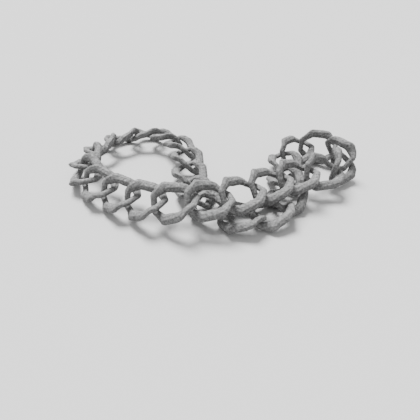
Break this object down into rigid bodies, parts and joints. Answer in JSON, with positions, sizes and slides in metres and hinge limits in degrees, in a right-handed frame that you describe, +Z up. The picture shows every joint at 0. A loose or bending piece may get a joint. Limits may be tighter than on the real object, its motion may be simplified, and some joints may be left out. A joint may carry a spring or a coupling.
{
  "type": "closed loop of iron chain",
  "caption": "Loose closed loop of heavy twisted-link iron chain, lying on the floor in one wide and one tight turn that cross.",
  "frame": {"origin": "on the floor, under the middle of the loop's bounding box", "axes": "+Z up; +X along the loop's long side, from the large turn to the small one; +Y away from the picture's viewer"},
  "size_m": [0.435, 0.2692, 0.0574],
  "materials": {
    "iron": "rough mid-grey iron, dull, finely pitted, a little brighter where the links rub"
  },
  "bodies": {
    "root": {"link_01": "iron", "link_02": "iron", "link_03": "iron", "link_04": "iron", "link_05": "iron", "link_06": "iron", "link_07": "iron", "link_08": "iron", "link_09": "iron", "link_10": "iron", "link_11": "iron", "link_12": "iron", "link_13": "iron", "link_14": "iron", "link_15": "iron", "link_16": "iron", "link_17": "iron", "link_18": "iron", "link_19": "iron", "link_20": "iron", "link_21": "iron", "link_22": "iron", "link_23": "iron", "link_24": "iron", "link_25": "iron", "link_26": "iron", "link_27": "iron", "link_28": "iron", "link_29": "iron"}
  },
  "joints": []
}
